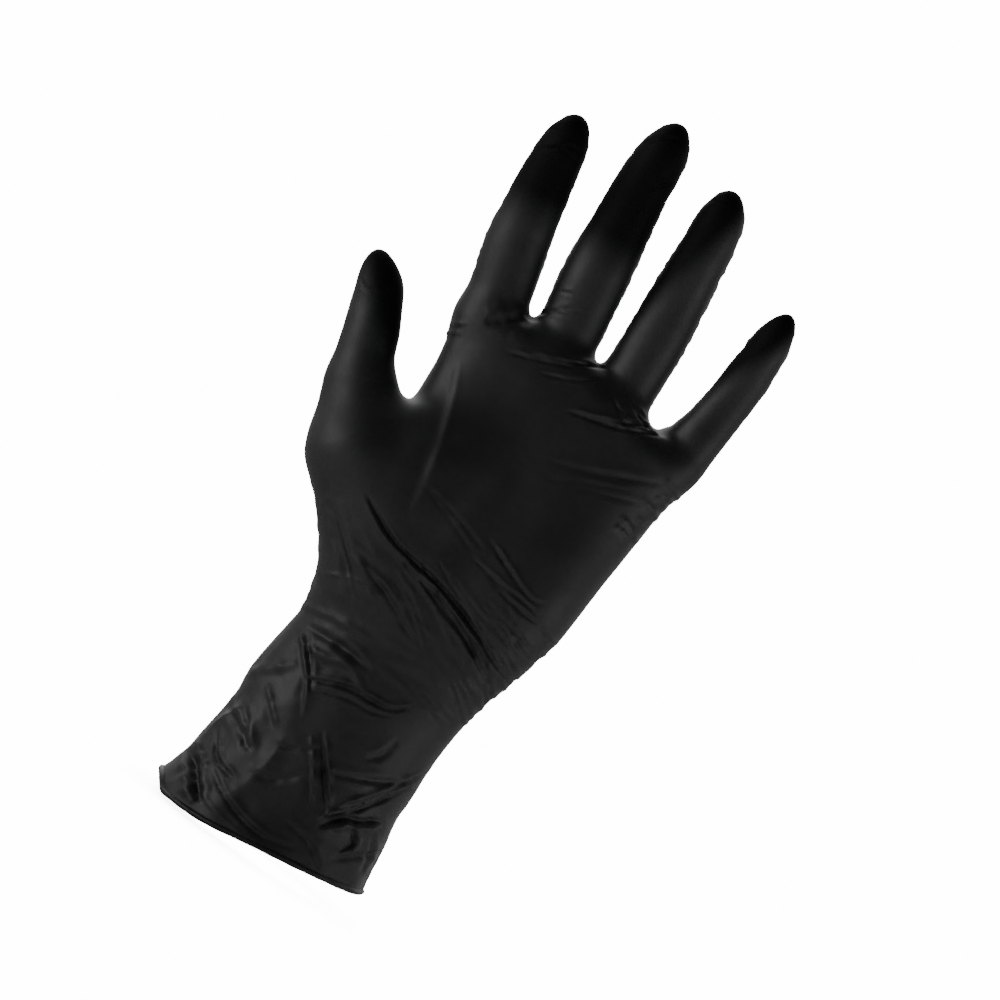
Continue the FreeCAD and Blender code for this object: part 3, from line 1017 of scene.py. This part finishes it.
class NITRILE_OT_wrist(bpy.types.Operator):
    """Build the film at the wrist"""
    bl_idname = "nitrile.wrist"
    bl_label = "Build Wrist"

    def execute(self, context):
        start, end = (0, 0, SLEEVE_TOP + SEAM_MARGIN), (0, 0, WRIST_MIDDLE - SEAM_MARGIN)
        blend_piece("wrist_lower_film", ("cuff", "wrist"), start, end, "wrist")
        start, end = (0, 0, WRIST_MIDDLE + SEAM_MARGIN), (0, 0, HEEL_TOP - SEAM_MARGIN)
        blend_piece("wrist_upper_film", ("wrist", "palm"), start, end)
        return {"FINISHED"}


class NITRILE_OT_palm(bpy.types.Operator):
    """Build the film of the palm and the back of the hand"""
    bl_idname = "nitrile.palm"
    bl_label = "Build Palm"

    def execute(self, context):
        rigid_piece("palm_film", "palm", "palm", "finger_webs")
        return {"FINISHED"}


class NITRILE_OT_thumb(bpy.types.Operator):
    """Build the film of the thumb"""
    bl_idname = "nitrile.thumb"
    bl_label = "Build Thumb"

    def execute(self, context):
        root, low, high, length = thumb_cuts()
        start, end = root + low * (ROOT_RISE + SEAM_MARGIN), root + low * THUMB_ROOT_END
        blend_piece("thumb_base_film", ("palm", "thumb_base"), start, end, "thumb_base")
        # Its end lies as far beyond the knuckle as its cut is before it.
        start, end = root + high * (THUMB_SEAM + SEAM_MARGIN), root + high * (2 * length - THUMB_SEAM)
        blend_piece("thumb_tip_film", ("thumb_base", "thumb_tip"), start, end, "thumb_tip")
        return {"FINISHED"}


class NITRILE_OT_fingers(bpy.types.Operator):
    """Build the film of the four fingers"""
    bl_idname = "nitrile.fingers"
    bl_label = "Build Fingers"

    def execute(self, context):
        for name in FINGERS:
            near, far = DIGITS[name]["joints"]
            seams = (ROOT_RISE, near * BASE_SHARE, (near + far) / 2, far + (far - near) / 2)
            parents = ("palm", name + "_base", name + "_mid")
            for k, part in enumerate(("_base", "_mid", "_tip")):
                start = run_point(name, seams[k] + SEAM_MARGIN)
                end = run_point(name, seams[k + 1] - SEAM_MARGIN)
                blend_piece(name + part + "_film", (parents[k], name + part), start, end, name + part)
        return {"FINISHED"}


def smoothed_rim():
    """The film's rim as an even, smooth loop of points in mm."""
    whole = glove_skin()
    loop = whole["points"][whole["rim"]]
    loop = loop[np.argsort(np.arctan2(loop[:, 1], loop[:, 0]))]
    loop = np.append(loop, loop[:1], 0)
    rows = np.linspace(0, len(loop) - 1, BEAD_ROWS, endpoint=False)
    path = np.stack([np.interp(rows, np.arange(len(loop)), loop[:, k]) for k in range(3)], 1)
    for _ in range(6):
        path = (np.roll(path, 1, 0) + 2 * path + np.roll(path, -1, 0)) / 4
    return path


class NITRILE_OT_bead(bpy.types.Operator):
    """Build the rolled bead round the rim"""
    bl_idname = "nitrile.bead"
    bl_label = "Build Bead"

    def execute(self, context):
        path = smoothed_rim()
        heading = unit(np.roll(path, -1, 0) - np.roll(path, 1, 0))
        outward = unit(np.cross(heading, (0, 0, 1)))
        upward = np.cross(outward, heading)
        row = np.arange(BEAD_ROWS)
        swell = 1 + 0.06 * np.sin(row * 0.11) + 0.04 * np.sin(row * 0.37 + 1)
        points = []
        for angle in np.arange(BEAD_SIDES) * 2 * math.pi / BEAD_SIDES:
            # The rolled edge leaves a groove just outside the film.
            groove = 1 - 0.28 * math.exp(-((angle - 1.05) / 0.3) ** 2)
            radius = context.scene.glove_bead.diameter_mm / 2 * groove * swell
            points.append(path + (outward * math.cos(angle) + upward * math.sin(angle)) * radius[:, None])
        points = np.stack(points, 1).reshape(-1, 3)
        this, side = row[:, None] * BEAD_SIDES, np.arange(BEAD_SIDES)
        after, beside = (row[:, None] + 1) % BEAD_ROWS * BEAD_SIDES, (side + 1) % BEAD_SIDES
        faces = np.stack([this + side, this + beside, after + beside, after + side], 2).reshape(-1, 4)
        mesh = mesh_from("rolled_bead", points, faces)
        mesh.materials.append(film_finish())
        piece = link(bpy.data.objects.new("rolled_bead", mesh))
        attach(piece, "cuff")
        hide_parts("cuff_bead")
        return {"FINISHED"}


def area_light(name, place, aim, size, power):
    """Soft box at a place, pointing at another, sizes in metres and power in watts. The camera doesn't see it."""
    data = bpy.data.lights.new(name, "AREA")
    data.shape = "RECTANGLE"
    data.size, data.size_y = size
    data.energy = power
    light = link(bpy.data.objects.new(name, data))
    light.location = place
    light.visible_camera = False
    light.rotation_euler = (Vector(aim) - Vector(place)).to_track_quat("-Z", "Y").to_euler()


def white_studio():
    """Surround that is white to the camera, and lights the glove softly from behind."""
    world = bpy.data.worlds.new("studio")
    world.use_nodes = True
    tree = world.node_tree
    tree.nodes.clear()
    sight = add_node(tree, "ShaderNodeLightPath")
    seen = add_node(tree, "ShaderNodeBackground", {"Color": (1, 1, 1, 1), "Strength": WHITE})
    place = add_node(tree, "ShaderNodeTexCoord")
    parts = add_node(tree, "ShaderNodeSeparateXYZ", links={"Vector": (place, "Generated")})
    glow = add_node(
        tree, "ShaderNodeMapRange", {"From Min": -0.2, "From Max": 0.7, "To Min": 0.02, "To Max": 0.95},
        {"Value": (parts, "Y")},
    )
    lit = add_node(tree, "ShaderNodeBackground", {"Color": (1, 1, 1, 1)}, {"Strength": (glow, "Result")})
    both = add_node(
        tree, "ShaderNodeMixShader",
        links={0: (sight, "Is Camera Ray"), 1: (lit, "Background"), 2: (seen, "Background")},
    )
    add_node(tree, "ShaderNodeOutputWorld", links={"Surface": (both, "Shader")})
    return world


class NITRILE_OT_stage(bpy.types.Operator):
    """Build the floor, the lights, the surround and the camera"""
    bl_idname = "nitrile.stage"
    bl_label = "Build Stage"

    def execute(self, context):
        stage = context.scene.glove_stage
        # The floor is just under the bead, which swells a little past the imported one.
        floor_z = CAD_BOX[0][2] - 0.0008
        half = 3.0
        corners = [(x, y, floor_z) for x, y in ((-half, -half), (half, -half), (half, half), (-half, half))]
        mesh = bpy.data.meshes.new("floor")
        mesh.from_pydata(corners, [], [(0, 1, 2, 3)])
        mesh.materials.append(white_sweep("matt white paper", stage.floor_colour))
        link(bpy.data.objects.new("floor", mesh))
        middle = (0.0, 0.0, 0.12)
        area_light("back_box", (-0.5, 1.1, 0.75), middle, (1.0, 1.0), 4.0)
        area_light("low_left_box", (-1.0, -0.5, 0.0), middle, (0.7, 0.9), 9.5)
        area_light("right_box", (0.9, -0.45, -0.1), middle, (0.5, 0.9), 4.0)
        context.scene.world = white_studio()
        data = bpy.data.cameras.new("camera")
        camera = link(bpy.data.objects.new("camera", data))
        # The camera looks along +Y, level with the middle of the glove, and is rolled so that the hand leans to the
        # right.
        right = Vector((math.cos(stage.roll), 0, math.sin(stage.roll)))
        up = Vector((-math.sin(stage.roll), 0, math.cos(stage.roll)))
        turn = Matrix((right, up, right.cross(up))).transposed().to_4x4()
        camera.matrix_world = Matrix.Translation((0, -stage.distance, 0.1198)) @ turn
        data.sensor_width = 36
        data.lens = data.sensor_width * stage.distance / stage.width
        data.clip_end = 20
        context.scene.camera = camera
        return {"FINISHED"}


class NITRILE_PT_panel(bpy.types.Panel):
    """Sizes, finishes and builders of the glove"""
    bl_label = "Nitrile Glove"
    bl_idname = "NITRILE_PT_panel"
    bl_space_type = "VIEW_3D"
    bl_region_type = "UI"
    bl_category = "Nitrile Glove"

    def draw(self, context):
        scene = context.scene
        for group in (scene.glove_film, scene.glove_bead, scene.glove_finish, scene.glove_stage):
            box = self.layout.box()
            for name in group.__annotations__:
                box.prop(group, name)
        for operator in OPERATORS:
            self.layout.operator(operator.bl_idname)


SETTINGS = {
    "glove_film": GloveFilmSettings,
    "glove_bead": GloveBeadSettings,
    "glove_finish": GloveFinishSettings,
    "glove_stage": GloveStageSettings,
}
OPERATORS = (
    NITRILE_OT_sleeve,
    NITRILE_OT_wrist,
    NITRILE_OT_palm,
    NITRILE_OT_thumb,
    NITRILE_OT_fingers,
    NITRILE_OT_bead,
    NITRILE_OT_stage,
)


def register():
    """Registers the settings, the operators and the panel."""
    for group in SETTINGS.values():
        bpy.utils.register_class(group)
    for operator in OPERATORS:
        bpy.utils.register_class(operator)
    bpy.utils.register_class(NITRILE_PT_panel)
    for name, group in SETTINGS.items():
        setattr(bpy.types.Scene, name, bpy.props.PointerProperty(type=group))


def unregister():
    """Takes back everything that register added."""
    for name in SETTINGS:
        delattr(bpy.types.Scene, name)
    bpy.utils.unregister_class(NITRILE_PT_panel)
    for operator in reversed(OPERATORS):
        bpy.utils.unregister_class(operator)
    for group in reversed(tuple(SETTINGS.values())):
        bpy.utils.unregister_class(group)


def main():
    """Builds the glove and its stage."""
    register()
    bpy.ops.nitrile.sleeve()
    bpy.ops.nitrile.wrist()
    bpy.ops.nitrile.palm()
    bpy.ops.nitrile.thumb()
    bpy.ops.nitrile.fingers()
    bpy.ops.nitrile.bead()
    bpy.ops.nitrile.stage()


if __name__ == "__main__":
    main()
